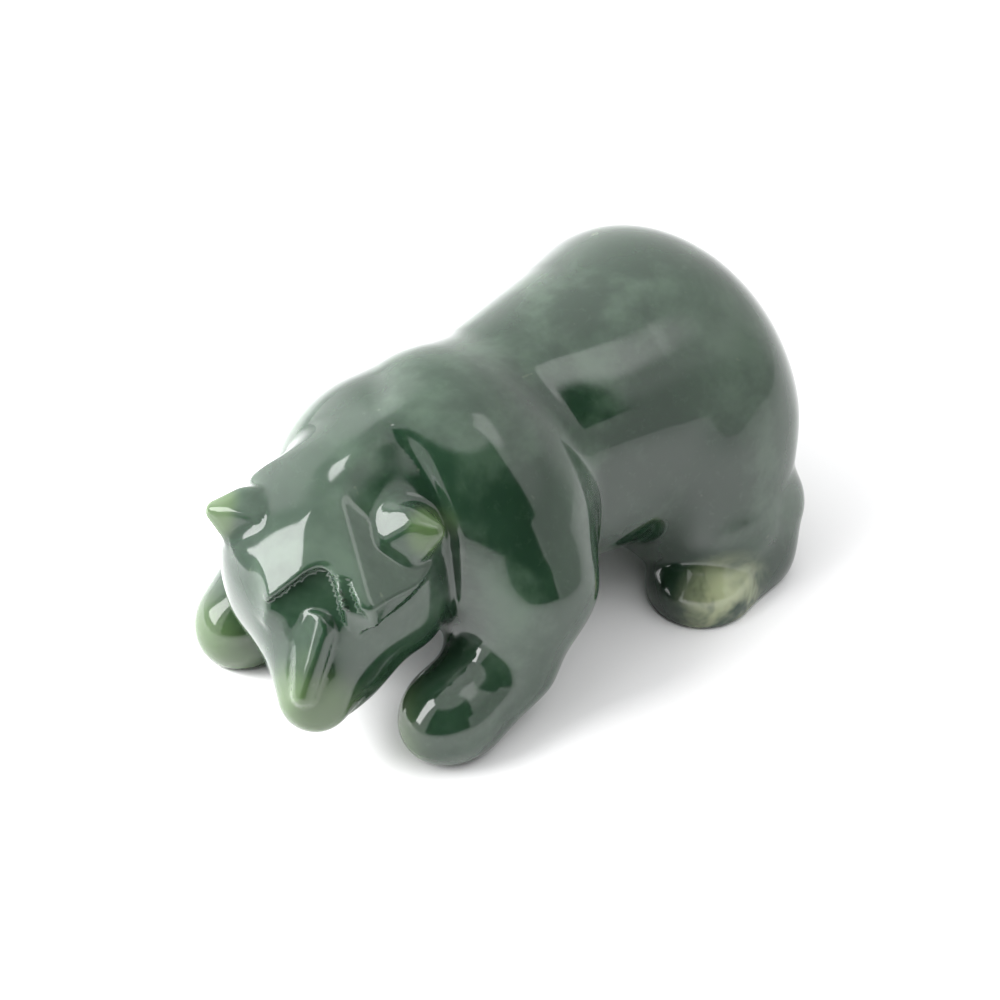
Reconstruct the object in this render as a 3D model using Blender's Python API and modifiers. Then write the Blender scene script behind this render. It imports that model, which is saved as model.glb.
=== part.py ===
"""A bear carved from a single piece of green jade, walking with its head low and turned to its left.

Every size below is the carving's own. bear() gives about how far a point is
from the carving's surface; a blank of joined balls, laid out with the same
sizes, is worked down to that surface.
"""

import math

import bmesh
import bpy
import numpy as np

NAME = "bear"
MM = 0.001
MIDDLE_BACK = 0.3       # from the sizes' own zero back to the middle of the whole length
BLANK_VOXEL = 0.5
FINE_VOXEL = 0.4
TRIANGLES = 9200
STEP_MOST = 0.6         # how far a point may move in one step
SOLE_NEAR = 0.03        # points nearer the ground than this lie on it

# Sizes in millimetres: x to the animal's left, y to its back, z up from the ground.
RUMP = (0.1, 22.5, 14.4), (17.4, 10.7, 16.8)             # middle, half sizes
LOIN = (-0.9, 0.0, 20.0), 10.7, (0.0, 15.6, 16.6), 15.0  # front end, radius, back end, radius
BELLY = (0.0, 7.1, 13.2), (12.7, 16.1, 6.8)
HUMP = (-0.4, -5.6, 17.6), (13.8, 12.7, 14.3)
NECK = (-3.3, -10.1, 16.6), 13.0, (-4.0, -14.2, 15.9), 9.2

# Each limb: shoulder, elbow and wrist with their radii, then the paw's middle and half sizes.
ARM_LEFT = ((7.8, -6.4, 17.1), 7.5), ((12.0, -7.5, 13.9), 5.6), ((11.8, -11.1, 6.3), 5.4), ((12.0, -17.8, 3.9), (5.0, 6.4, 5.1))
ARM_RIGHT = ((-7.8, -8.4, 17.1), 7.5), ((-12.0, -9.0, 10.0), 6.3), ((-12.8, -18.3, 5.7), 5.5), ((-12.3, -23.4, 3.2), (4.8, 5.7, 5.3))
THIGH = (8.6, 18.4, 13.0), 8.5, (11.3, 18.4, 7.0), 8.6
HOCK = (13.8, 22.3, 6.5), 5.8
HEEL = (14.7, 20.3, 2.6), 5.5
TOES = (15.1, 14.0, 1.3), 5.7
RIGHT_LEG_BACK = 2.0                                     # the right hind leg stands this much farther back

# The head has axes of its own: forward is -y, its left is +x.
HEAD_AT = (-0.1, -22.6, 16.6)
HEAD_TURN, HEAD_NOD, HEAD_TILT = 34.9, 28.3, 4.8         # degrees to its left, down, and left side up
SKULL = (0.0, 2.1, 0.2), (10.9, 8.8, 7.9)
CHEEK = (5.6, 0.1, -3.9), (5.2, 6.1, 4.9)
SNOUT = (0.0, -4.9, -2.1), 6.0, (0.0, -11.0, -2.3), 3.6
JAW = (0.0, -4.2, -5.0), (6.4, 7.8, 3.6)
EAR = (7.6, 3.5, 4.3), 3.1, (10.5, 3.6, 5.4), 1.1           # base and tip with their radii
EAR_FACE = (8.0, 2.2, 6.1), (0.10, -0.72, 0.69)             # the ear's flat front
EAR_INNER = (7.2, 3.4, 6.7), (-0.27, -0.20, 0.94)           # the flat on the left ear's side toward the forehead
EAR_UPPER = (-8.0, 3.4, 6.9), (0.05, 0.25, 0.97)            # the flat on the right ear's upper side
NAPE, NAPE_REACH, NAPE_SOFT = (-3.5, -16.5, 26.0), 9.0, 4.0
# The brow: an egg's top, trimmed all round by flat faces (a point, the way it faces), then polished: flat on top and
# on the left temple, nearly flat on its right half (a point, the way it faces, radius of the curve).
BROW = (0.1, 0.5, 2.1), (11.5, 11.5, 7.0), 6.0           # middle, half sizes, degrees that it leans forward
BROW_FACES = (
    ((0.0, 3.0, 7.9), (0.0, 0.12, 0.99)),
    ((0.0, -5.3, 5.6), (0.0, -0.96, 0.28)),
    ((-5.7, 2.1, 7.0), (-0.88, -0.28, 0.30)),
    ((7.0, -4.3, 5.3), (0.82, -0.55, 0.14)),
    ((0.0, 0.0, 3.6), (0.0, 0.0, -1.0)),
)
BROW_TOP = (-0.95, 0.5, 7.9), (0.12, -0.07, 0.99)
TEMPLE = (5.0, -1.0, 6.8), (0.55, 0.14, 0.82)
BROW_RIGHT = (-2.9, -0.9, 7.3), (-0.26, -0.15, 0.95), 20.0
# The right eye: a notch in the brow's front edge, open in front, with an arch over a sloping floor. The arch's two
# flanks: a point, the way each faces.
NOTCH_LEFT = (-1.03, -2.43, 6.28), (-0.66, 0.65, 0.38)
NOTCH_RIGHT = (1.95, -1.7, 5.85), (0.93, 0.35, -0.09)
NOTCH_ROUND = 2.8
EYE_FLOOR = (-2.9, -4.2, 5.5), (0.06, -0.43, 0.90)
# The left eye: a narrow leaf of a cut between two flanks, closed above, with a sloping floor.
LEAF_FLANKS = ((3.05, -3.18, 5.08), (-0.85, -0.53, 0.0)), ((3.34, -1.83, 5.5), (0.865, 0.50, -0.02)), ((2.9, -1.9, 5.6), (0.11, 0.94, 0.31))
LEAF_FLOOR = (3.0, -2.2, 7.2), (0.24, -0.32, 0.91)
# The bevel between the two eyes, between the notch's right flank and the leaf.
BEVEL = (3.15, -2.6, 7.2), (-0.34, -0.25, 0.91)
NOSE = (0.7, -6.3, 3.5), 2.0, (-0.2, -11.9, 0.7), 1.25
NOSE_FACES = ((0.1, -9.7, 3.35), (-0.14, -0.43, 0.89)), ((-0.4, -9.4, 3.2), (-0.45, -0.33, 0.83))
MUZZLE_SIDE = (1.3, -11.5, 1.2), (0.45, -0.64, 0.62)
MOUTH = (4.9, -10.8, -4.0), (3.4, -12.2, -4.6), 0.5
COLLAR = (9.6, -14.4, 20.0), (-0.06, -1.0, 0.05), 0.7      # the cape ends in front at this slanting face: a point, the way it faces, its edge
UNDER = (0.0, 17.0, 0.0), (7.2, 23.0, 7.6)               # the hollow under the belly and between the hind legs


def turned(yaw, pitch, roll):
    y, p, r = (math.radians(v) for v in (yaw, pitch, roll))
    z = np.array([[math.cos(y), -math.sin(y), 0], [math.sin(y), math.cos(y), 0], [0, 0, 1]])
    x = np.array([[1, 0, 0], [0, math.cos(p), -math.sin(p)], [0, math.sin(p), math.cos(p)]])
    return z @ x @ np.array([[math.cos(r), 0, -math.sin(r)], [0, 1, 0], [math.sin(r), 0, math.cos(r)]])


def unit(v):
    return np.array(v) / np.linalg.norm(v)


def egg(p, at, r, turn=None):
    """About the distance to an ellipsoid with the half sizes r."""
    q = p - np.array(at)
    if turn is not None:
        q = q @ turn
    r = np.array(r)
    far = np.linalg.norm(q / r, axis=-1)
    return far * (far - 1.0) / np.maximum(np.linalg.norm(q / (r * r), axis=-1), 1e-9)


def rod(p, a, ra, b, rb):
    """Distance to a tapered rod with ball ends."""
    a, b = np.array(a, float), np.array(b, float)
    ba = b - a
    long2, taper = ba @ ba, ra - rb
    rest = max(long2 - taper * taper, 1e-6)
    pa = p - a
    y = pa @ ba
    z = y - long2
    x2 = ((pa * long2 - ba * y[..., None]) ** 2).sum(-1)
    y2, z2 = y * y * long2, z * z * long2
    k = np.sign(taper) * taper * taper * x2
    d = (np.sqrt(x2 * rest / long2) + y * taper) / long2 - ra
    d = np.where(np.sign(y) * rest * y2 < k, np.sqrt(x2 + y2) / long2 - ra, d)
    return np.where(np.sign(z) * rest * z2 > k, np.sqrt(x2 + z2) / long2 - rb, d)


def join(a, b, soft):
    near = np.maximum(soft - np.abs(a - b), 0) / soft
    return np.minimum(a, b) - near * near * soft * 0.25


def cut(a, b, soft):
    return -join(-a, b, soft)


def above(p, at, faces):
    """Height over a flat face."""
    return (p - np.array(at)) @ unit(faces)


def mirrored(at):
    return (-at[0],) + tuple(at[1:])


def arm(p, limb):
    shoulder, elbow, wrist, paw = limb
    d = join(rod(p, *shoulder, *elbow), rod(p, *elbow, *wrist), 3.0)
    return join(d, egg(p, *paw), 3.0)


def hind_leg(p, side):
    def at(point):
        return (point[0] * side, point[1] + (RIGHT_LEG_BACK if side < 0 else 0), point[2])
    thigh = rod(p, at(THIGH[0]), THIGH[1], at(THIGH[2]), THIGH[3])
    foot = join(rod(p, at(HOCK[0]), HOCK[1], at(HEEL[0]), HEEL[1]), rod(p, at(TOES[0]), TOES[1], at(HEEL[0]), HEEL[1]), 1.5)
    return thigh, foot


def head(p):
    q = (p - np.array(HEAD_AT)) @ turned(HEAD_TURN, HEAD_NOD, HEAD_TILT)
    cheeks = join(egg(q, *CHEEK), egg(q, mirrored(CHEEK[0]), CHEEK[1]), 2.0)
    d = join(egg(q, *SKULL), cheeks, 3.0)
    d = join(d, cut(rod(q, *SNOUT), -above(q, *MUZZLE_SIDE), 0.8), 3.5)
    d = join(d, egg(q, *JAW), 2.0)
    brow = egg(q, BROW[0], BROW[1], turned(0, BROW[2], 0))
    for at, faces in BROW_FACES:
        brow = cut(brow, -above(q, at, faces), 0.4)
    d = join(d, brow, 1.2)
    at, faces, radius = BROW_RIGHT
    d = cut(d, radius - np.linalg.norm(q - np.array(at) + radius * unit(faces), axis=-1), 0.3)
    for at, faces in (BROW_TOP, TEMPLE):
        d = cut(d, -above(q, at, faces), 0.25)
    arch = cut(above(q, *NOTCH_LEFT), -above(q, *NOTCH_RIGHT), NOTCH_ROUND)
    d = cut(d, np.maximum(arch, -above(q, *EYE_FLOOR)), 0.3)
    leaf = np.maximum.reduce([above(q, *flank) for flank in LEAF_FLANKS] + [-above(q, *LEAF_FLOOR)])
    d = cut(d, leaf, 0.2)
    bevel = np.maximum.reduce([-above(q, *BEVEL), -above(q, *NOTCH_RIGHT) - 0.3, above(q, *LEAF_FLANKS[2]), -above(q, *LEAF_FLANKS[0])])
    d = cut(d, bevel, 0.2)
    for side in (1, -1):
        m = np.array([side, 1, 1])
        ear = rod(q, np.array(EAR[0]) * m, EAR[1], np.array(EAR[2]) * m, EAR[3])
        ear = cut(ear, -above(q, np.array(EAR_FACE[0]) * m, np.array(EAR_FACE[1]) * m), 0.5)
        ear = cut(ear, -above(q, *(EAR_INNER if side > 0 else EAR_UPPER)), 0.5)
        d = join(d, ear, 0.7)
    nose = rod(q, *NOSE)
    for at, faces in NOSE_FACES:
        nose = cut(nose, -above(q, at, faces), 0.2)
    d = join(d, nose, 0.35)
    for side in (1, -1):
        m = np.array([side, 1, 1])
        d = cut(d, rod(q, np.array(MOUTH[0]) * m, MOUTH[2], np.array(MOUTH[1]) * m, MOUTH[2]), 0.4)
    return d


def bear(p):
    """Distance to the whole carving's surface, less than 0 inside."""
    d = join(join(egg(p, *RUMP), rod(p, *LOIN), 4.0), egg(p, *BELLY), 4.0)
    cape = cut(egg(p, *HUMP), (np.array(COLLAR[0]) - p) @ unit(COLLAR[1]), COLLAR[2])
    cape = join(join(cape, arm(p, ARM_LEFT), 4.0), arm(p, ARM_RIGHT), 4.0)
    front = join(cape, rod(p, *NECK), 0.5)
    d = join(d, front, 1.2)
    for side in (1, -1):
        thigh, foot = hind_leg(p, side)
        d = join(join(d, thigh, 3.0), foot, 0.8)
    d = cut(d, egg(p, *UNDER), 1.5)
    away = np.linalg.norm(p - np.array(NAPE), axis=-1) / NAPE_REACH
    d = join(d, head(p), 1.0 + NAPE_SOFT * np.clip(1 - away, 0, 1))
    return -join(-d, p[..., 2], 0.6)


# ---- the blank ----

def head_balls():
    turn = turned(HEAD_TURN, HEAD_NOD, HEAD_TILT)

    def placed(at):
        return np.array(HEAD_AT) + turn @ np.array(at, float)

    found = [(placed(at), r, turn) for at, r in (SKULL, CHEEK, (mirrored(CHEEK[0]), CHEEK[1]), JAW)]
    found += chain(placed(SNOUT[0]), SNOUT[1], placed(SNOUT[2]), SNOUT[3])
    for side in (1, -1):
        m = np.array([side, 1, 1])
        found += chain(placed(np.array(EAR[0]) * m), EAR[1], placed(np.array(EAR[2]) * m), EAR[3])
    return found


def chain(a, ra, b, rb, count=7):
    """Balls in a row from one end of a rod to the other."""
    a, b = np.array(a, float), np.array(b, float)
    return [(a + (b - a) * t, (ra + (rb - ra) * t,) * 3, np.eye(3)) for t in np.linspace(0, 1, count)]


def balls():
    plain = np.eye(3)
    found = [(RUMP[0], RUMP[1], plain), (BELLY[0], BELLY[1], plain), (HUMP[0], HUMP[1], plain)]
    found += chain(*LOIN) + chain(*NECK)
    for shoulder, elbow, wrist, paw in (ARM_LEFT, ARM_RIGHT):
        found += chain(*shoulder, *elbow) + chain(*elbow, *wrist) + [(*paw, plain)]
    for side in (1, -1):
        back = RIGHT_LEG_BACK if side < 0 else 0

        def at(point):
            return (point[0] * side, point[1] + back, point[2])

        found += chain(at(THIGH[0]), THIGH[1], at(THIGH[2]), THIGH[3])
        found += chain(at(HOCK[0]), HOCK[1], at(HEEL[0]), HEEL[1]) + chain(at(TOES[0]), TOES[1], at(HEEL[0]), HEEL[1])
    return found + head_balls()


def blank():
    """One mesh that holds every ball, each a copy of the same unit sphere."""
    bm = bmesh.new()
    bmesh.ops.create_uvsphere(bm, u_segments=48, v_segments=24, radius=1.0)
    sphere = np.array([v.co for v in bm.verts])
    rings = [[v.index for v in face.verts] for face in bm.faces]
    bm.free()
    points, faces = [], []
    for at, r, turn in balls():
        start = len(points) * len(sphere)
        points.append((sphere * np.array(r)) @ turn.T + np.array(at))
        faces += [[i + start for i in ring] for ring in rings]
    mesh = bpy.data.meshes.new("blank")
    mesh.from_pydata((np.concatenate(points) * MM).tolist(), [], faces)
    mesh.update()
    return mesh


def cutters():
    """The ground below the soles and the hollow under the belly, cut from the blank."""
    group = bpy.data.collections.new("cutters")
    bpy.context.scene.collection.children.link(group)
    ground, hollow = bmesh.new(), bmesh.new()
    bmesh.ops.create_cube(ground, size=100 * MM)
    bmesh.ops.translate(ground, verts=ground.verts, vec=(0, 0, -50 * MM))
    bmesh.ops.create_uvsphere(hollow, u_segments=48, v_segments=24, radius=1.0)
    bmesh.ops.scale(hollow, verts=hollow.verts, vec=[r * MM for r in UNDER[1]])
    bmesh.ops.translate(hollow, verts=hollow.verts, vec=[v * MM for v in UNDER[0]])
    for name, bm in (("cut_ground", ground), ("cut_hollow", hollow)):
        mesh = bpy.data.meshes.new(name)
        bm.to_mesh(mesh)
        bm.free()
        obj = bpy.data.objects.new(name, mesh)
        obj.hide_render = True
        obj.display_type = "WIRE"
        group.objects.link(obj)
    return group


# ---- from the blank to the carving ----

def slope_of(p, reach=0.03):
    sides = [np.array(v) * reach for v in ((1, 0, 0), (0, 1, 0), (0, 0, 1))]
    return np.stack([bear(p + v) - bear(p - v) for v in sides], -1) / (2 * reach)


def points_of(mesh):
    p = np.empty(len(mesh.vertices) * 3, np.float32)
    mesh.vertices.foreach_get("co", p)
    return p.reshape(-1, 3).astype(float) / MM


def put_points(mesh, p):
    mesh.vertices.foreach_set("co", (p * MM).astype(np.float32).ravel())
    mesh.update()


def settled(mesh, steps):
    """Moves the points along the field's slope until they lie on the carving's surface."""
    p = points_of(mesh)
    for _ in range(steps):
        slope = slope_of(p)
        move = np.clip(bear(p), -STEP_MOST, STEP_MOST) / np.maximum((slope * slope).sum(1), 0.25)
        p -= slope * move[:, None]
    put_points(mesh, p)


def changed(obj, kind, **settings):
    """Adds a modifier, applies it and leaves its result as the object's mesh."""
    modifier = obj.modifiers.new(kind.title(), kind)
    for key, value in settings.items():
        setattr(modifier, key, value)
    bpy.context.view_layer.update()
    made = bpy.data.meshes.new_from_object(obj.evaluated_get(bpy.context.evaluated_depsgraph_get()))
    obj.modifiers.clear()
    old, obj.data = obj.data, made
    bpy.data.meshes.remove(old)


def jade():
    material = bpy.data.materials.new("jade")
    material.use_nodes = True
    shader = material.node_tree.nodes["Principled BSDF"]
    shader.inputs["Base Color"].default_value = (0.020, 0.055, 0.028, 1.0)
    shader.inputs["Roughness"].default_value = 0.08
    shader.inputs["Metallic"].default_value = 0.0
    material.diffuse_color = (0.020, 0.055, 0.028, 1.0)
    return material


def main():
    for obj in list(bpy.data.objects):
        bpy.data.objects.remove(obj)
    group = bpy.data.collections.new("jade bear carving")
    bpy.context.scene.collection.children.link(group)
    obj = bpy.data.objects.new(NAME, blank())
    group.objects.link(obj)

    changed(obj, "REMESH", mode="VOXEL", voxel_size=BLANK_VOXEL * MM)
    changed(obj, "BOOLEAN", operation="DIFFERENCE", solver="EXACT", operand_type="COLLECTION", collection=cutters())
    changed(obj, "REMESH", mode="VOXEL", voxel_size=BLANK_VOXEL * MM)
    settled(obj.data, 6)
    changed(obj, "REMESH", mode="VOXEL", voxel_size=FINE_VOXEL * MM)
    settled(obj.data, 3)
    changed(obj, "TRIANGULATE")
    changed(obj, "DECIMATE", decimate_type="COLLAPSE", ratio=TRIANGLES / len(obj.data.polygons))
    settled(obj.data, 2)

    p = points_of(obj.data)
    p[np.abs(p[:, 2]) < SOLE_NEAR, 2] = 0.0
    p[:, 1] -= MIDDLE_BACK
    put_points(obj.data, p)
    obj.data.name = NAME
    obj.data.polygons.foreach_set("use_smooth", [True] * len(obj.data.polygons))
    obj.data.materials.clear()
    obj.data.materials.append(jade())


main()
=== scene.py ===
import math

import bpy
import numpy as np
from mathutils import Matrix, Vector


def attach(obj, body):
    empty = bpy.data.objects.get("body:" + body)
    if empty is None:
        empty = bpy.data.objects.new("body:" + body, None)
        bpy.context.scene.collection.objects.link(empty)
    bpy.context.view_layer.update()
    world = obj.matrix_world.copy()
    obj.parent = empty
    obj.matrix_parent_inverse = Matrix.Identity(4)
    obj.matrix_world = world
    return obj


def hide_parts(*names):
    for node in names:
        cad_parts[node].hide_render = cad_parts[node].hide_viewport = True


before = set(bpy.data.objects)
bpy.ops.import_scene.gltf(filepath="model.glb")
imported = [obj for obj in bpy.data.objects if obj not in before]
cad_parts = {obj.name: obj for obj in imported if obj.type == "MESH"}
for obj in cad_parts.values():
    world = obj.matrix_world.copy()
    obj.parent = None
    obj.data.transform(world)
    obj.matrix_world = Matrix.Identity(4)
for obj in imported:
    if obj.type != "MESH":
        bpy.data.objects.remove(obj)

for name in ("Cube", "Light", "Camera"):
    if name in bpy.data.objects:
        bpy.data.objects.remove(bpy.data.objects[name])

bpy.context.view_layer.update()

# The carving: a bear cut from one piece of green jade, walking with its head
# low and turned to its left. bear() gives how far a point is from its surface.

MM = 0.001
MIDDLE_BACK = 0.3       # from the sizes' own zero back to the middle of the whole length
ROUGH_VOXEL = 0.45
FINE_VOXEL = 0.345
STEP_MOST = 0.5

# Sizes in millimetres: x to the animal's left, y to its back, z up from the ground.
RUMP = (0.1, 22.5, 14.4), (17.4, 10.7, 16.8)             # middle, half sizes
LOIN = (-0.9, 0.0, 20.0), 10.7, (0.0, 15.6, 16.6), 15.0  # front end, radius, back end, radius
BELLY = (0.0, 7.1, 13.2), (12.7, 16.1, 6.8)
HUMP = (-0.4, -5.6, 17.6), (13.8, 12.7, 14.3)
NECK = (-3.3, -10.1, 16.6), 13.0, (-4.0, -14.2, 15.9), 9.2

# Each limb: shoulder, elbow and wrist with their radii, then the paw's middle and half sizes.
ARM_LEFT = ((7.8, -6.4, 17.1), 7.5), ((12.0, -7.5, 13.9), 5.6), ((11.8, -11.1, 6.3), 5.4), ((12.0, -17.8, 3.9), (5.0, 6.4, 5.1))
ARM_RIGHT = ((-7.8, -8.4, 17.1), 7.5), ((-12.0, -9.0, 10.0), 6.3), ((-12.8, -18.3, 5.7), 5.5), ((-12.3, -23.4, 3.2), (4.8, 5.7, 5.3))
THIGH = (8.6, 18.4, 13.0), 8.5, (11.3, 18.4, 7.0), 8.6
HOCK = (13.8, 22.3, 6.5), 5.8
HEEL = (14.7, 20.3, 2.6), 5.5
TOES = (15.1, 14.0, 1.3), 5.7
RIGHT_LEG_BACK = 2.0                                     # the right hind leg stands this much farther back

# The head has axes of its own: forward is -y, its left is +x.
HEAD_AT = (-0.1, -22.6, 16.6)
HEAD_TURN, HEAD_NOD, HEAD_TILT = 34.9, 28.3, 4.8         # degrees to its left, down, and left side up
SKULL = (0.0, 2.1, 0.2), (10.9, 8.8, 7.9)
CHEEK = (5.6, 0.1, -3.9), (5.2, 6.1, 4.9)
SNOUT = (0.0, -4.9, -2.1), 6.0, (0.0, -11.0, -2.3), 3.6
JAW = (0.0, -4.2, -5.0), (6.4, 7.8, 3.6)
EAR = (7.6, 3.5, 4.3), 3.1, (10.5, 3.6, 5.4), 1.1           # base and tip with their radii
EAR_FACE = (8.0, 2.2, 6.1), (0.10, -0.72, 0.69)             # the ear's flat front
EAR_INNER = (7.2, 3.4, 6.7), (-0.27, -0.20, 0.94)           # the flat on the left ear's side toward the forehead
EAR_UPPER = (-8.0, 3.4, 6.9), (0.05, 0.25, 0.97)            # the flat on the right ear's upper side
NAPE, NAPE_REACH, NAPE_SOFT = (-3.5, -16.5, 26.0), 9.0, 4.0
# The brow: an egg's top, trimmed all round by flat faces (a point, the way it faces), then polished: flat on top and
# on the left temple, nearly flat on its right half (a point, the way it faces, radius of the curve).
BROW = (0.1, 0.5, 2.1), (11.5, 11.5, 7.0), 6.0           # middle, half sizes, degrees that it leans forward
BROW_FACES = (
    ((0.0, 3.0, 7.9), (0.0, 0.12, 0.99)),
    ((0.0, -5.3, 5.6), (0.0, -0.96, 0.28)),
    ((-5.7, 2.1, 7.0), (-0.88, -0.28, 0.30)),
    ((7.0, -4.3, 5.3), (0.82, -0.55, 0.14)),
    ((0.0, 0.0, 3.6), (0.0, 0.0, -1.0)),
)
BROW_TOP = (-0.95, 0.5, 7.9), (0.12, -0.07, 0.99)
TEMPLE = (5.0, -1.0, 6.8), (0.55, 0.14, 0.82)
BROW_RIGHT = (-2.9, -0.9, 7.3), (-0.26, -0.15, 0.95), 20.0
# The right eye: a notch in the brow's front edge, open in front, with an arch over a sloping floor. The arch's two
# flanks: a point, the way each faces.
NOTCH_LEFT = (-1.03, -2.43, 6.28), (-0.66, 0.65, 0.38)
NOTCH_RIGHT = (1.95, -1.7, 5.85), (0.93, 0.35, -0.09)
NOTCH_ROUND = 2.8
EYE_FLOOR = (-2.9, -4.2, 5.5), (0.06, -0.43, 0.90)
# The left eye: a narrow leaf of a cut between two flanks, closed above, with a sloping floor.
LEAF_FLANKS = ((3.05, -3.18, 5.08), (-0.85, -0.53, 0.0)), ((3.34, -1.83, 5.5), (0.865, 0.50, -0.02)), ((2.9, -1.9, 5.6), (0.11, 0.94, 0.31))
LEAF_FLOOR = (3.0, -2.2, 7.2), (0.24, -0.32, 0.91)
# The bevel between the two eyes, between the notch's right flank and the leaf.
BEVEL = (3.15, -2.6, 7.2), (-0.34, -0.25, 0.91)
NOSE = (0.7, -6.3, 3.5), 2.0, (-0.2, -11.9, 0.7), 1.25
NOSE_FACES = ((0.1, -9.7, 3.35), (-0.14, -0.43, 0.89)), ((-0.4, -9.4, 3.2), (-0.45, -0.33, 0.83))
MUZZLE_SIDE = (1.3, -11.5, 1.2), (0.45, -0.64, 0.62)
MOUTH = (4.9, -10.8, -4.0), (3.4, -12.2, -4.6), 0.5
COLLAR = (9.6, -14.4, 20.0), (-0.06, -1.0, 0.05), 0.7      # the cape ends in front at this slanting face: a point, the way it faces, its edge
UNDER = (0.0, 17.0, 0.0), (7.2, 23.0, 7.6)               # the hollow under the belly and between the hind legs


def turned(yaw, pitch, roll):
    y, p, r = (math.radians(v) for v in (yaw, pitch, roll))
    z = np.array([[math.cos(y), -math.sin(y), 0], [math.sin(y), math.cos(y), 0], [0, 0, 1]])
    x = np.array([[1, 0, 0], [0, math.cos(p), -math.sin(p)], [0, math.sin(p), math.cos(p)]])
    return z @ x @ np.array([[math.cos(r), 0, -math.sin(r)], [0, 1, 0], [math.sin(r), 0, math.cos(r)]])


def unit(v):
    return np.array(v) / np.linalg.norm(v)


def egg(p, at, r, turn=None):
    """About the distance to an ellipsoid with the half sizes r."""
    q = p - np.array(at)
    if turn is not None:
        q = q @ turn
    r = np.array(r)
    far = np.linalg.norm(q / r, axis=-1)
    return far * (far - 1.0) / np.maximum(np.linalg.norm(q / (r * r), axis=-1), 1e-9)


def rod(p, a, ra, b, rb):
    """Distance to a tapered rod with ball ends."""
    a, b = np.array(a, float), np.array(b, float)
    ba = b - a
    long2, taper = ba @ ba, ra - rb
    rest = max(long2 - taper * taper, 1e-6)
    pa = p - a
    y = pa @ ba
    z = y - long2
    x2 = ((pa * long2 - ba * y[..., None]) ** 2).sum(-1)
    y2, z2 = y * y * long2, z * z * long2
    k = np.sign(taper) * taper * taper * x2
    d = (np.sqrt(x2 * rest / long2) + y * taper) / long2 - ra
    d = np.where(np.sign(y) * rest * y2 < k, np.sqrt(x2 + y2) / long2 - ra, d)
    return np.where(np.sign(z) * rest * z2 > k, np.sqrt(x2 + z2) / long2 - rb, d)


def join(a, b, soft):
    near = np.maximum(soft - np.abs(a - b), 0) / soft
    return np.minimum(a, b) - near * near * soft * 0.25


def cut(a, b, soft):
    return -join(-a, b, soft)


def above(p, at, faces):
    """Height over a flat face."""
    return (p - np.array(at)) @ unit(faces)


def mirrored(at):
    return (-at[0],) + tuple(at[1:])


def arm(p, limb):
    shoulder, elbow, wrist, paw = limb
    d = join(rod(p, *shoulder, *elbow), rod(p, *elbow, *wrist), 3.0)
    return join(d, egg(p, *paw), 3.0)


def hind_leg(p, side):
    def at(point):
        return (point[0] * side, point[1] + (RIGHT_LEG_BACK if side < 0 else 0), point[2])
    thigh = rod(p, at(THIGH[0]), THIGH[1], at(THIGH[2]), THIGH[3])
    foot = join(rod(p, at(HOCK[0]), HOCK[1], at(HEEL[0]), HEEL[1]), rod(p, at(TOES[0]), TOES[1], at(HEEL[0]), HEEL[1]), 1.5)
    return thigh, foot


def head(p):
    q = (p - np.array(HEAD_AT)) @ turned(HEAD_TURN, HEAD_NOD, HEAD_TILT)
    cheeks = join(egg(q, *CHEEK), egg(q, mirrored(CHEEK[0]), CHEEK[1]), 2.0)
    d = join(egg(q, *SKULL), cheeks, 3.0)
    d = join(d, cut(rod(q, *SNOUT), -above(q, *MUZZLE_SIDE), 0.8), 3.5)
    d = join(d, egg(q, *JAW), 2.0)
    brow = egg(q, BROW[0], BROW[1], turned(0, BROW[2], 0))
    for at, faces in BROW_FACES:
        brow = cut(brow, -above(q, at, faces), 0.4)
    d = join(d, brow, 1.2)
    at, faces, radius = BROW_RIGHT
    d = cut(d, radius - np.linalg.norm(q - np.array(at) + radius * unit(faces), axis=-1), 0.3)
    for at, faces in (BROW_TOP, TEMPLE):
        d = cut(d, -above(q, at, faces), 0.25)
    arch = cut(above(q, *NOTCH_LEFT), -above(q, *NOTCH_RIGHT), NOTCH_ROUND)
    d = cut(d, np.maximum(arch, -above(q, *EYE_FLOOR)), 0.6)
    leaf = np.maximum.reduce([above(q, *flank) for flank in LEAF_FLANKS] + [-above(q, *LEAF_FLOOR)])
    d = cut(d, leaf, 0.4)
    bevel = np.maximum.reduce([-above(q, *BEVEL), -above(q, *NOTCH_RIGHT) - 0.3, above(q, *LEAF_FLANKS[2]), -above(q, *LEAF_FLANKS[0])])
    d = cut(d, bevel, 0.4)
    for side in (1, -1):
        m = np.array([side, 1, 1])
        ear = rod(q, np.array(EAR[0]) * m, EAR[1], np.array(EAR[2]) * m, EAR[3])
        ear = cut(ear, -above(q, np.array(EAR_FACE[0]) * m, np.array(EAR_FACE[1]) * m), 0.5)
        ear = cut(ear, -above(q, *(EAR_INNER if side > 0 else EAR_UPPER)), 0.5)
        d = join(d, ear, 0.7)
    nose = rod(q, *NOSE)
    for at, faces in NOSE_FACES:
        nose = cut(nose, -above(q, at, faces), 0.2)
    d = join(d, nose, 0.35)
    for side in (1, -1):
        m = np.array([side, 1, 1])
        d = cut(d, rod(q, np.array(MOUTH[0]) * m, MOUTH[2], np.array(MOUTH[1]) * m, MOUTH[2]), 0.4)
    return d


WAIST = (6.3, -1.0, 28.6), 4.0, 0.56
FLANK = (10.3, 10.3, 24.7), 3.2, -0.17
SCRUFF = (-1.1, -14.1, 30.6), 2.2, -0.93


def hollow(p, at, reach, depth):
    """A shallow dip of the surface around a point, or a low swell when depth is negative."""
    return depth * np.exp(-((p - np.array(at)) ** 2).sum(-1) / (2 * reach * reach))


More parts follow.
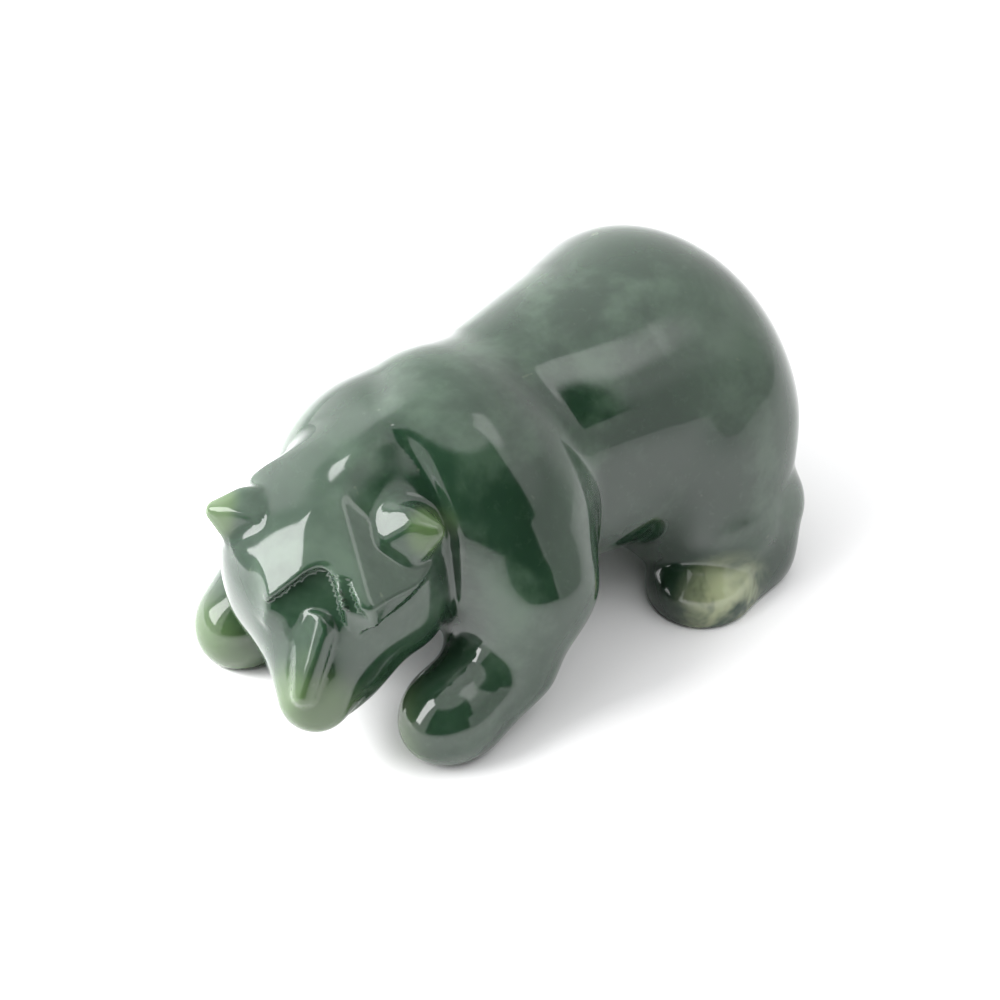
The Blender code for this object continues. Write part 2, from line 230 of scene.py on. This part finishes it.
def bear(p):
    """Distance to the whole carving's surface, less than 0 inside."""
    d = join(join(egg(p, *RUMP), rod(p, *LOIN), 4.0), egg(p, *BELLY), 4.0)
    cape = cut(egg(p, *HUMP), (np.array(COLLAR[0]) - p) @ unit(COLLAR[1]), COLLAR[2])
    cape = join(join(cape, arm(p, ARM_LEFT), 4.0), arm(p, ARM_RIGHT), 4.0)
    front = join(cape, rod(p, *NECK), 0.5)
    d = join(d, front, 1.2)
    for side in (1, -1):
        thigh, foot = hind_leg(p, side)
        d = join(join(d, thigh, 3.0), foot, 0.8)
    d = cut(d, egg(p, *UNDER), 1.5)
    away = np.linalg.norm(p - np.array(NAPE), axis=-1) / NAPE_REACH
    d = join(d, head(p), 1.0 + NAPE_SOFT * np.clip(1 - away, 0, 1))
    for relief in (WAIST, FLANK, SCRUFF):
        d = d + hollow(p, *relief)
    return -join(-d, p[..., 2], 0.6)


# ---- the finished mesh ----

def slope_of(p, reach=0.02):
    sides = [np.array(v) * reach for v in ((1, 0, 0), (0, 1, 0), (0, 0, 1))]
    return np.stack([bear(p + v) - bear(p - v) for v in sides], -1) / (2 * reach)


def points_of(mesh):
    p = np.empty(len(mesh.vertices) * 3, np.float32)
    mesh.vertices.foreach_get("co", p)
    return p.reshape(-1, 3).astype(float) / MM + np.array([0, MIDDLE_BACK, 0])


def put_points(mesh, p):
    p = (p - np.array([0, MIDDLE_BACK, 0])) * MM
    mesh.vertices.foreach_set("co", p.astype(np.float32).ravel())
    mesh.update()


def settled(mesh, steps):
    """Moves the points along the field's slope until they lie on the carving's surface."""
    p = points_of(mesh)
    for _ in range(steps):
        slope = slope_of(p)
        move = np.clip(bear(p), -STEP_MOST, STEP_MOST) / np.maximum((slope * slope).sum(1), 0.25)
        p -= slope * move[:, None]
    put_points(mesh, p)


def remeshed(obj, voxel):
    modifier = obj.modifiers.new("Remesh", "REMESH")
    modifier.mode = "VOXEL"
    modifier.voxel_size = voxel * MM
    bpy.context.view_layer.update()
    made = bpy.data.meshes.new_from_object(obj.evaluated_get(bpy.context.evaluated_depsgraph_get()))
    obj.modifiers.clear()
    old, obj.data = obj.data, made
    bpy.data.meshes.remove(old)


def painted_glow_spots():
    """Where the stone is slim and painted pale, a painted glow that stands in for lamplight shining through it:
    middle, inner and outer radius in millimetres, and how strong.
    """
    turn = turned(HEAD_TURN, HEAD_NOD, HEAD_TILT)

    def on_head(point):
        return np.array(HEAD_AT) + turn @ np.array(point)

    spots = [(on_head((side * EAR[2][0], EAR[2][1], EAR[2][2])), 1.4, 3.6, 1.0) for side in (1, -1)]
    spots += [(on_head((0.0, -12.8, -1.0)), 1.5, 7.0, 1.0), (on_head((0.2, -9.5, 2.8)), 0.5, 3.2, 0.35)]
    spots += [(np.array(ARM_RIGHT[3][0]) + (0, -4, -1), 2.0, 8.5, 0.9), (np.array(ARM_LEFT[3][0]) + (-3, -4, -1), 1.5, 7.5, 0.9)]
    return spots


def finished_piece(name, node):
    piece = bpy.data.objects.new(name, node.data.copy())
    bpy.context.scene.collection.objects.link(piece)
    remeshed(piece, ROUGH_VOXEL)
    settled(piece.data, 3)
    remeshed(piece, FINE_VOXEL)
    settled(piece.data, 3)
    mesh = piece.data
    mesh.name = name
    p = points_of(mesh)
    slope = slope_of(p)
    normals = slope / np.maximum(np.linalg.norm(slope, axis=1, keepdims=True), 1e-9)
    mesh.polygons.foreach_set("use_smooth", [True] * len(mesh.polygons))
    mesh.normals_split_custom_set_from_vertices(normals.tolist())
    # painted glow: a share from 0 to 1 near the ears, muzzle and paw tips, where lamplight shining through the slim
    # stone is painted in as paler colour
    painted_glow_share = np.zeros(len(p))
    for point, inner, outer, strength in painted_glow_spots():
        away = np.clip((outer - np.linalg.norm(p - point, axis=1)) / (outer - inner), 0, 1)
        painted_glow_share = np.maximum(painted_glow_share, strength * away * away * (3 - 2 * away))
    mesh.attributes.new("painted_glow_share", "FLOAT", "POINT").data.foreach_set("value", painted_glow_share.astype(np.float32))
    return piece


# ---- the stone ----

class Nodes:
    """Small helper that adds and links shader nodes."""

    def __init__(self, material):
        self.tree = material.node_tree

    def add(self, kind, inputs=(), **settings):
        node = self.tree.nodes.new(kind)
        for key, value in settings.items():
            setattr(node, key, value)
        for key, value in dict(inputs).items():
            if isinstance(value, bpy.types.NodeSocket):
                self.tree.links.new(value, node.inputs[key])
            else:
                node.inputs[key].default_value = value
        return node

    def noise(self, where, scale, detail=3.0, rough=0.5, distortion=0.0):
        return self.add("ShaderNodeTexNoise", {"Vector": where, "Scale": scale, "Detail": detail, "Roughness": rough, "Distortion": distortion}).outputs["Fac"]

    def between(self, value, low, high, to_low=0.0, to_high=1.0):
        node = self.add("ShaderNodeMapRange", {"Value": value, "From Min": low, "From Max": high, "To Min": to_low, "To Max": to_high}, interpolation_type="SMOOTHSTEP")
        return node.outputs["Result"]

    def math(self, what, a, b=0.0):
        return self.add("ShaderNodeMath", {0: a, 1: b}, operation=what).outputs[0]

    def mix(self, share, a, b):
        node = self.add("ShaderNodeMix", {"Factor": share}, data_type="RGBA")
        for key, value in (("A", a), ("B", b)):
            socket = next(s for s in node.inputs if s.name == key and s.type == "RGBA")
            if isinstance(value, bpy.types.NodeSocket):
                self.tree.links.new(value, socket)
            else:
                socket.default_value = (*value, 1.0)
        return next(s for s in node.outputs if s.type == "RGBA")

    def near(self, where, point, inner, outer):
        """1 within inner millimetres of a point, 0 beyond outer."""
        away = self.add("ShaderNodeVectorMath", {0: where, 1: [(v - (MIDDLE_BACK if i == 1 else 0)) * MM for i, v in enumerate(point)]}, operation="DISTANCE").outputs["Value"]
        return self.between(away, outer * MM, inner * MM)


DEEP = (0.0100, 0.0270, 0.0145)
MID = (0.0180, 0.0425, 0.0235)
CLOUD = (0.046, 0.080, 0.052)
FLECK = (0.20, 0.23, 0.16)
# painted glow: the paler yellow-green painted where lamplight shines through the slim ears, muzzle and paws
PAINTED_GLOW = (0.064, 0.105, 0.044)
PALE = (0.42, 0.46, 0.28)


def jade():
    material = bpy.data.materials.new("jade")
    material.use_nodes = True
    n = Nodes(material)
    shader = n.tree.nodes["Principled BSDF"]
    where = n.add("ShaderNodeTexCoord").outputs["Object"]
    # painted glow share, stored on the mesh: where lamplight through the slim stone is painted in
    painted_glow = n.add("ShaderNodeAttribute", attribute_name="painted_glow_share").outputs["Fac"]
    broad = n.noise(where, 55.0, 4.0, 0.55, 0.2)
    cloudy = n.noise(where, 120.0, 4.0, 0.55, 0.2)
    colour = n.mix(n.between(broad, 0.38, 0.66), DEEP, MID)
    colour = n.mix(n.math("MULTIPLY", n.between(cloudy, 0.44, 0.68), 0.75), colour, CLOUD)
    fine = n.noise(where, 900.0, 4.0, 0.7, 0.3)
    colour = n.mix(n.math("MULTIPLY", n.between(fine, 0.55, 0.75), 0.25), colour, CLOUD)
    flecks = n.noise(where, 420.0, 2.0, 0.5, 0.0)
    colour = n.mix(n.math("MULTIPLY", n.between(flecks, 0.73, 0.80), 0.30), colour, FLECK)
    # painted glow: ears, muzzle and paw tips are painted paler yellow-green, standing in for lamplight shining through
    # the stone
    colour = n.mix(n.between(painted_glow, 0.05, 1.0), colour, PAINTED_GLOW)
    foot = n.near(where, (20.2, 12.6, 2.6), 2.0, 6.5)
    patch = n.math("MULTIPLY", foot, n.between(n.noise(where, 210.0, 3.0, 0.55, 0.4), 0.34, 0.60))
    colour = n.mix(n.math("MULTIPLY", patch, 0.75), colour, PALE)
    n.tree.links.new(colour, shader.inputs["Base Color"])
    worn = n.noise(where, 700.0, 3.0, 0.6, 0.0)
    n.tree.links.new(n.between(worn, 0.3, 0.8, 0.055, 0.11), shader.inputs["Roughness"])
    shader.inputs["Metallic"].default_value = 0.0
    shader.inputs["IOR"].default_value = 1.61
    shader.inputs["Specular IOR Level"].default_value = 0.5
    shader.inputs["Subsurface Weight"].default_value = 0.35
    shader.inputs["Subsurface Radius"].default_value = (0.7, 1.0, 0.5)
    shader.inputs["Subsurface Scale"].default_value = 0.0016
    wave = n.noise(where, 160.0, 2.0, 0.4, 0.0)
    grain = n.noise(where, 1500.0, 2.0, 0.5, 0.0)
    height = n.math("ADD", n.math("MULTIPLY", wave, 1.0), n.math("MULTIPLY", grain, 0.02))
    bump = n.add("ShaderNodeBump", {"Height": height, "Strength": 0.35, "Distance": 0.00012})
    n.tree.links.new(bump.outputs["Normal"], shader.inputs["Normal"])
    return material


piece = finished_piece("carving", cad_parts["bear"])
piece.data.materials.clear()
piece.data.materials.append(jade())
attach(piece, "root")
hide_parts("bear")


# ---- floor, light and camera ----

def toward(azimuth, elevation):
    """Unit vector to a direction: azimuth 0 is in front, 90 on the animal's left."""
    a, e = math.radians(azimuth), math.radians(elevation)
    return Vector((math.sin(a) * math.cos(e), -math.cos(a) * math.cos(e), math.sin(e)))


def flat_material(name, colour, rough):
    material = bpy.data.materials.new(name)
    material.use_nodes = True
    shader = material.node_tree.nodes["Principled BSDF"]
    shader.inputs["Base Color"].default_value = (*colour, 1.0)
    shader.inputs["Roughness"].default_value = rough
    shader.inputs["Specular IOR Level"].default_value = 0.0
    return material


FLOOR_HALF = 3.0
floor_mesh = bpy.data.meshes.new("floor")
floor_mesh.from_pydata([(x * FLOOR_HALF, y * FLOOR_HALF, 0.0) for x, y in ((-1, -1), (1, -1), (1, 1), (-1, 1))], [], [(0, 1, 2, 3)])
floor_mesh.materials.append(flat_material("floor", (0.84, 0.84, 0.845), 0.8))
floor = bpy.data.objects.new("floor", floor_mesh)
bpy.context.scene.collection.objects.link(floor)

world = bpy.data.worlds.new("studio")
bpy.context.scene.world = world
world.use_nodes = True
tree = world.node_tree
background = tree.nodes["Background"]
background.inputs["Color"].default_value = (1, 1, 1, 1)


def sky(what, a, b=None, c=None):
    node = tree.nodes.new("ShaderNodeMath")
    node.operation = what
    for i, value in enumerate((a, b, c)):
        if value is None:
            continue
        if isinstance(value, bpy.types.NodeSocket):
            tree.links.new(value, node.inputs[i])
        else:
            node.inputs[i].default_value = value
    return node.outputs[0]


def soft_step(value, low, high):
    node = tree.nodes.new("ShaderNodeMapRange")
    node.interpolation_type = "SMOOTHSTEP"
    tree.links.new(value, node.inputs["Value"])
    node.inputs["From Min"].default_value = low
    node.inputs["From Max"].default_value = high
    return node.outputs["Result"]


coordinates = tree.nodes.new("ShaderNodeTexCoord").outputs["Generated"]
parts = tree.nodes.new("ShaderNodeSeparateXYZ")
tree.links.new(coordinates, parts.inputs[0])
azimuth = sky("MULTIPLY", sky("ARCTAN2", parts.outputs["X"], sky("MULTIPLY", parts.outputs["Y"], -1.0)), 180 / math.pi)
elevation = sky("MULTIPLY", sky("ARCSINE", parts.outputs["Z"]), 180 / math.pi)

def product(*values):
    result = values[0]
    for value in values[1:]:
        result = sky("MULTIPLY", result, value)
    return result


# the studio's unlit side, behind and to the right of the camera; its far edge leans back as it rises
edge = sky("ADD", 89.0, sky("ADD", sky("MULTIPLY", 10.4, soft_step(elevation, 21.2, 26.2)), sky("MULTIPLY", 0.29, sky("MAXIMUM", sky("SUBTRACT", elevation, 29.0), 0.0))))
unlit = product(soft_step(azimuth, 3.0, 9.0), soft_step(sky("SUBTRACT", azimuth, edge), 2.5, -2.5),
                soft_step(elevation, 1.0, 5.0), soft_step(elevation, 62.0, 54.0))
# a brighter card behind the carving's left, and a dimmer stretch of wall below it
card_foot = sky("ADD", 50.0, sky("MULTIPLY", 0.5, sky("MAXIMUM", sky("SUBTRACT", azimuth, 125.0), 0.0)))
card = product(soft_step(azimuth, 106.0, 116.0), soft_step(azimuth, 160.0, 152.0), soft_step(sky("SUBTRACT", elevation, card_foot), -5.0, 4.0), soft_step(elevation, 78.0, 72.0))
low = product(soft_step(azimuth, 88.0, 96.0), soft_step(azimuth, 165.0, 140.0), soft_step(elevation, 40.0, 24.0))
# the wall on the carving's right, and a broad low light in front of it
wall = product(soft_step(azimuth, -180.0, -150.0), soft_step(azimuth, -50.0, -60.0))
side_light = product(soft_step(azimuth, -118.0, -95.0), soft_step(azimuth, -62.0, -72.0), soft_step(elevation, 58.0, 40.0))
# the main softbox, in front and to the right
key = product(soft_step(azimuth, -54.0, -52.0), soft_step(azimuth, -13.0, -15.0), soft_step(elevation, 13.0, 15.0), soft_step(elevation, 62.0, 60.0))

level = sky("ADD", 1.4, sky("MULTIPLY", card, 1.6))
level = sky("MULTIPLY", level, sky("SUBTRACT", 1.0, sky("MULTIPLY", low, 0.30)))
level = sky("ADD", level, sky("ADD", sky("MULTIPLY", wall, 0.2), sky("MULTIPLY", side_light, 1.1)))
level = sky("MULTIPLY", level, sky("SUBTRACT", 1.0, unlit))
level = sky("ADD", sky("MULTIPLY", level, sky("SUBTRACT", 1.0, key)), sky("MULTIPLY", key, 9.0))
tree.links.new(level, background.inputs["Strength"])

def glow(name, at, aim, size, energy):
    """A soft lamp that lights the floor and the stone but isn't seen or reflected itself."""
    data = bpy.data.lights.new(name, "AREA")
    data.shape = "DISK"
    data.size = size
    data.energy = energy
    lamp = bpy.data.objects.new(name, data)
    bpy.context.scene.collection.objects.link(lamp)
    lamp.location = at
    lamp.rotation_euler = (Vector(at) - Vector(aim)).to_track_quat("Z", "Y").to_euler()
    lamp.visible_camera = False
    lamp.visible_glossy = False


glow("front_glow", (-0.11, -0.10, 0.10), (-0.050, -0.055, 0.0), 0.08, 0.45)
glow("left_glow", (0.14, -0.02, 0.18), (0.030, 0.0, 0.0), 0.15, 0.08)

TARGET, DISTANCE = Vector((0.0, -MIDDLE_BACK * MM, 0.012)), 0.2778
camera_data = bpy.data.cameras.new("camera")
camera_data.lens = 100.0
camera_data.sensor_width = 36.0
camera_data.clip_start, camera_data.clip_end = 0.01, 20.0
camera = bpy.data.objects.new("camera", camera_data)
bpy.context.scene.collection.objects.link(camera)
back = toward(45.0, 42.0)
camera.location = TARGET + back * DISTANCE
camera.rotation_euler = back.to_track_quat("Z", "Y").to_euler()
bpy.context.scene.camera = camera
bpy.context.scene.view_settings.view_transform = "Standard"
